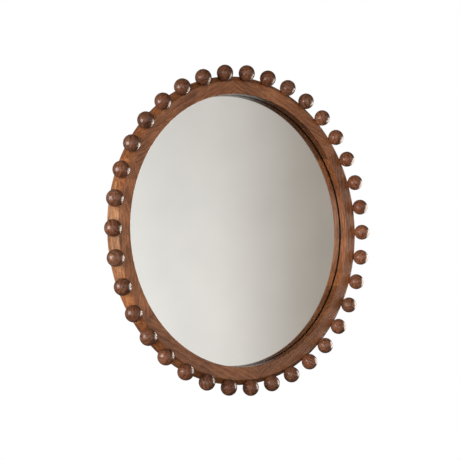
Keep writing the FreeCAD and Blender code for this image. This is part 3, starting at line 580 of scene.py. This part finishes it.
BOARD_SCREW_REACH, BOARD_SCREW_TOP, BOARD_SCREW_LENGTH = 0.39125, -0.0002, 0.012
FIRST_BOARD_SCREW, BOARD_SCREW_COUNT = 10, 12
HANGER_REACH, HANGER_TILT = 0.412, math.radians(15)
HANGER_SCREW_RISES, HANGER_SCREW_TOP, HANGER_SCREW_LENGTH = (-0.005, -0.017), -0.0037, 0.016
SCREW_SEED = 77


def board_screw_places():
    """(x, z) of the screws round the board's edge."""
    for index in range(BOARD_SCREW_COUNT):
        angle = math.radians(FIRST_BOARD_SCREW + 360 / BOARD_SCREW_COUNT * index)
        yield BOARD_SCREW_REACH * math.sin(angle), BOARD_SCREW_REACH * math.cos(angle)


def strap_screw_places():
    """(x, z) of the screws in the two straps, which stand square to the radius."""
    for side in (-1, 1):
        for rise in HANGER_SCREW_RISES:
            across = HANGER_REACH * math.cos(HANGER_TILT) - rise * math.sin(HANGER_TILT)
            yield side * across, HANGER_REACH * math.sin(HANGER_TILT) + rise * math.cos(HANGER_TILT)


def add_screws(name, replaced, places, top, head, length, material, rng):
    """One piece of screws, each turned to another angle as a hand driver leaves it."""
    shape = bmesh.new()
    for x, z in places:
        spin = Matrix.Rotation(rng.uniform(0, math.pi), 4, "Z")
        add_screw(shape, Matrix.Translation((x, top, z)) @ Z_TO_WALL @ spin, head, length)
    add_piece(name, shape, material, [replaced])


def make_screws(material):
    rng = random.Random(SCREW_SEED)
    add_screws("board_screws", "backing_screws", board_screw_places(), BOARD_SCREW_TOP, BOARD_HEAD,
               BOARD_SCREW_LENGTH, material, rng)
    add_screws("strap_screws", "hanger_screws", strap_screw_places(), HANGER_SCREW_TOP, PAN_HEAD,
               HANGER_SCREW_LENGTH, material, rng)


SILVER_BITE, SILVER_SIDES = 0.00003, 180


def make_silver():
    """The silvering reaches a hair into the glass, so that the two never lie in one plane."""
    low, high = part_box("mirror_coating")
    radius = high.x
    edge = (high.y - low.y) / 4
    front, back = low.y - SILVER_BITE, high.y
    shape = bmesh.new()
    profile = ((0, front), (radius - edge, front), (radius, front + edge), (radius, back - edge),
               (radius - edge, back), (0, back))
    revolve(shape, profile, SILVER_SIDES)
    shape.transform(Z_TO_WALL)
    add_piece("silvering", shape, silver(), ["mirror_coating"])


# Colours of the zinc plate, linear: bright and dull.
HANGER_ZINC = (0.66, 0.65, 0.62), (0.47, 0.47, 0.46)
SCREW_ZINC = (0.64, 0.60, 0.47), (0.46, 0.43, 0.36)
HANGER_SCRATCH, SCREW_SCRATCH = 0.0004, 0.0002


def dress_rest():
    """All pieces that aren't lacquered wood."""
    put_on("mirror_glass", clear_glass())
    make_silver()
    put_on("glass_gasket", gasket_foam())
    put_on("backing_board", hardboard())
    joinery = bare_wood()
    put_on("ball_dowels", joinery)
    put_on("segment_splines", joinery)
    hanger = plated_steel("hanger_steel", *HANGER_ZINC, HANGER_SCRATCH)
    for side in ("left", "right"):
        put_on("hanger_strap_" + side, hanger)
        put_on("hanger_ring_" + side, hanger)
    make_screws(plated_steel("screw_steel", *SCREW_ZINC, SCREW_SCRATCH))


# Camera, fitted to the outlines of the 36 balls in the photo. The image, the focal length and the row
# that the shift puts at the optical axis are in pixels, the sensor in millimetres.
IMAGE_SIZE = 460
CAMERA_PLACE = (-1.8007, -2.3193, -0.1120)
CAMERA_YAW, CAMERA_PITCH, CAMERA_ROLL = 37.283, 0.712, -0.719
FOCAL_PIXELS = 1051.1
OPTICAL_ROW = 258
SENSOR = 36


def make_camera():
    """The yaw runs from +Y towards +X, the pitch upwards and the roll about the line of sight."""
    data = bpy.data.cameras.new("camera")
    data.sensor_width = SENSOR
    data.lens = SENSOR * FOCAL_PIXELS / IMAGE_SIZE
    data.shift_y = (OPTICAL_ROW - IMAGE_SIZE / 2) / IMAGE_SIZE
    camera = bpy.data.objects.new("camera", data)
    bpy.context.scene.collection.objects.link(camera)
    yaw, pitch, roll = (math.radians(angle) for angle in (CAMERA_YAW, CAMERA_PITCH, CAMERA_ROLL))
    ahead = Vector((math.sin(yaw) * math.cos(pitch), math.cos(yaw) * math.cos(pitch), math.sin(pitch)))
    level = Vector((math.cos(yaw), -math.sin(yaw), 0))
    over = level.cross(ahead)
    right = level * math.cos(roll) + over * math.sin(roll)
    up = over * math.cos(roll) - level * math.sin(roll)
    turn = Matrix((right, up, -ahead)).transposed().to_4x4()
    camera.matrix_world = Matrix.Translation(CAMERA_PLACE) @ turn
    bpy.context.scene.camera = camera


# Studio walls round the horizon: (bearing from +Y towards +X in degrees, linear colour).
STUDIO_WALLS = (
    (0, (0.20, 0.20, 0.20)),
    (60, (0.24, 0.23, 0.22)),
    (115, (0.36, 0.32, 0.28)),
    (137.0, (0.385, 0.34, 0.295)),
    (144.4, (0.82, 0.785, 0.755)),
    (148.4, (0.88, 0.86, 0.83)),
    (154, (0.86, 0.84, 0.81)),
    (168, (0.42, 0.40, 0.38)),
    (192, (0.40, 0.38, 0.36)),
    (217, (0.95, 0.91, 0.87)),
    (240, (1.25, 1.20, 1.15)),
    (290, (0.45, 0.44, 0.43)),
    (320, (0.22, 0.22, 0.22)),
    (360, (0.20, 0.20, 0.20)),
)

# The walls turn darker with height and bear a faint mottle.
BRIGHTEST_IN_MIRROR = (0.88, 0.86, 0.83)
HIGH_WALL, HIGH_WALL_SHARE = (0.30, 0.27, 0.25), 0.45
MOTTLE_SCALE, MOTTLE_DEPTH = 22.0, 0.12
CEILING_IN_GLOSS, CEILING_IN_MIRROR = (0.06, 0.058, 0.055), (0.55, 0.54, 0.53)
GROUND_IN_GLOSS, GROUND_IN_MIRROR = (0.05, 0.048, 0.045), (0.80, 0.79, 0.78)
FILL_BELOW, FILL_ABOVE = (0.05, 0.05, 0.05), (0.10, 0.10, 0.10)

# Sines of the slopes between which a part of the studio gives way to the next.
HIGH_WALL_RISE = (-0.06, 0.30)
WALL_END = (0.22, 0.42)
FILL_RISE = (-1.0, 1.0)

# A ray's depths are whole numbers, so these limits let no bounce or one bounce pass.
NO_BOUNCE, ONE_BOUNCE = 0.5, 1.5


def sent_on(tree, ray):
    """1 for the rays that gloss or glass sends on, unless a matt surface scattered them before."""
    sent = math_node(tree, "MAXIMUM", ray["Is Glossy Ray"], ray["Is Transmission Ray"])
    return times(tree, sent, math_node(tree, "LESS_THAN", ray["Diffuse Depth"], NO_BOUNCE))


def make_world():
    """White for the camera. Gloss sees pale walls between a dark ceiling and ground. The mirror shows no
    wall brighter than white paper, and a pale ceiling and ground. All other rays get a low fill."""
    world = bpy.data.worlds.new("studio")
    bpy.context.scene.world = world
    world.use_nodes = True
    tree = world.node_tree
    tree.nodes.clear()
    ray = join(tree, "LightPath").outputs
    in_mirror = math_node(tree, "LESS_THAN", ray["Glossy Depth"], ONE_BOUNCE)
    in_mirror = times(tree, in_mirror, ray["Is Transmission Ray"])
    direction = join(tree, "TexCoord").outputs["Generated"]
    parts = join(tree, "SeparateXYZ", {0: direction}).outputs
    rise = parts["Z"]

    bearing = math_node(tree, "DIVIDE", math_node(tree, "ARCTAN2", parts["X"], parts["Y"]), FULL_TURN)
    bearing = math_node(tree, "FRACT", add(tree, bearing, 1.0))
    walls = ramp(tree, bearing, tuple((angle / 360, colour) for angle, colour in STUDIO_WALLS), "EASE")
    walls = mix(tree, in_mirror, walls, BRIGHTEST_IN_MIRROR, "DARKEN")
    walls = mix(tree, times(tree, fade(tree, rise, *HIGH_WALL_RISE), HIGH_WALL_SHARE), walls, HIGH_WALL)
    mottle = noise(tree, direction, MOTTLE_SCALE, detail=3.0)
    mottle = math_node(tree, "MULTIPLY_ADD", mottle, MOTTLE_DEPTH, 1 - MOTTLE_DEPTH / 2)
    walls = mix(tree, 1.0, walls, mottle, "MULTIPLY")
    ceiling = mix(tree, in_mirror, CEILING_IN_GLOSS, CEILING_IN_MIRROR)
    ground = mix(tree, in_mirror, GROUND_IN_GLOSS, GROUND_IN_MIRROR)
    studio = mix(tree, fade(tree, rise, *WALL_END), walls, ceiling)
    studio = mix(tree, fade(tree, times(tree, rise, -1.0), *WALL_END), studio, ground)

    fill = mix(tree, fade(tree, rise, *FILL_RISE), FILL_BELOW, FILL_ABOVE)
    colour = mix(tree, sent_on(tree, ray), fill, studio)
    colour = mix(tree, ray["Is Camera Ray"], colour, WHITE)
    background = join(tree, "Background", {"Color": colour, "Strength": 1.0})
    join(tree, "OutputWorld", {"Surface": background.outputs[0]})


FLOOR_DROP, FLOOR_RADIUS, FLOOR_SIDES = 1.5, 3.5, 96
FLOOR_RIM = (FLOOR_RADIUS * 0.3, FLOOR_RADIUS * 0.95)
FLOOR_GLOW, RIM_GLOW = 0.6, 0.4


def make_floor():
    """Plain pale floor, as far below as a hung mirror has it, which keeps the shadow. It glows in the
    white of the background, the more the nearer to its rim. Gloss and mirror show the studio's ground
    in its place."""
    mesh = bpy.data.meshes.new("floor")
    shape = bmesh.new()
    bmesh.ops.create_circle(shape, cap_ends=True, radius=FLOOR_RADIUS, segments=FLOOR_SIDES)
    shape.to_mesh(mesh)
    shape.free()
    floor = bpy.data.objects.new("floor", mesh)
    bpy.context.scene.collection.objects.link(floor)
    floor.location.z = -FLOOR_DROP
    floor.visible_diffuse = False
    floor.visible_glossy = False
    floor.visible_transmission = False
    material, tree, shader = new_material("floor")
    place = object_place(tree)
    grain = noise(tree, place, scale=30.0, detail=3.0)
    colour = ramp(tree, grain, ((0.3, (0.80, 0.79, 0.78)), (0.7, (0.84, 0.83, 0.82))))
    set_inputs(tree, shader, {"Base Color": colour, "Roughness": 0.9})
    glow = join(tree, "Emission", {"Color": (*WHITE, 1), "Strength": 1.0})
    ray = join(tree, "LightPath").outputs
    seen = math_node(tree, "MAXIMUM", ray["Is Camera Ray"], sent_on(tree, ray))
    rim = fade(tree, length_of(tree, place), *FLOOR_RIM)
    share = add(tree, times(tree, rim, RIM_GLOW), FLOOR_GLOW)
    blend = join(tree, "MixShader", {0: times(tree, seen, share), 1: shader.outputs[0], 2: glow.outputs[0]})
    tree.links.new(blend.outputs[0], tree.get_output_node("ALL").inputs["Surface"])
    mesh.materials.append(material)


WARM_LIGHT = (1.0, 0.91, 0.83)


def add_panel(name, bearing, distance, height, size, radiance):
    """Studio panel that faces the mirror's middle: a disk of one diameter or a rectangle of two sides.
    The radiance is the brightness of its surface, where 1 is white."""
    data = bpy.data.lights.new(name, "AREA")
    data.size = size[0]
    if len(size) == 1:
        data.shape = "DISK"
        area = math.pi / 4 * size[0] ** 2
    else:
        data.shape = "RECTANGLE"
        data.size_y = size[1]
        area = size[0] * size[1]
    data.energy = radiance * math.pi * area
    panel = bpy.data.objects.new(name, data)
    bpy.context.scene.collection.objects.link(panel)
    angle = math.radians(bearing)
    panel.location = Vector((distance * math.sin(angle), distance * math.cos(angle), height))
    panel.rotation_euler = (-panel.location).to_track_quat("-Z", "Y").to_euler()
    panel.visible_camera = False
    panel.visible_transmission = False
    return panel


def make_lights():
    """Washes light the surfaces, boxes show only in gloss. The right box shows in the mirror too."""
    front = add_panel("front_wash", bearing=209, distance=3.8, height=0.1, size=(3.0,), radiance=3.95)
    side = add_panel("side_wash", bearing=262, distance=6.0, height=0.2, size=(3.8,), radiance=11.0)
    back = add_panel("back_wash", bearing=42, distance=6.0, height=1.0, size=(4.0,), radiance=10.0)
    for wash in (front, side, back):
        wash.visible_glossy = False
    rear = add_panel("back_box", bearing=42, distance=6.0, height=1.0, size=(4.0,), radiance=4.5)
    left = add_panel("left_box", bearing=269, distance=1.65, height=0.10, size=(0.75, 0.75), radiance=8.5)
    right = add_panel("right_box", bearing=101, distance=1.6, height=-0.17, size=(1.15, 1.2), radiance=8.2)
    for box in (rear, left, right):
        box.visible_diffuse = False
    right.visible_transmission = True
    right.data.color = WARM_LIGHT


bpy.context.scene.view_settings.view_transform = "Standard"
dress_segments()
make_balls()
dress_rest()
make_camera()
make_world()
make_floor()
make_lights()
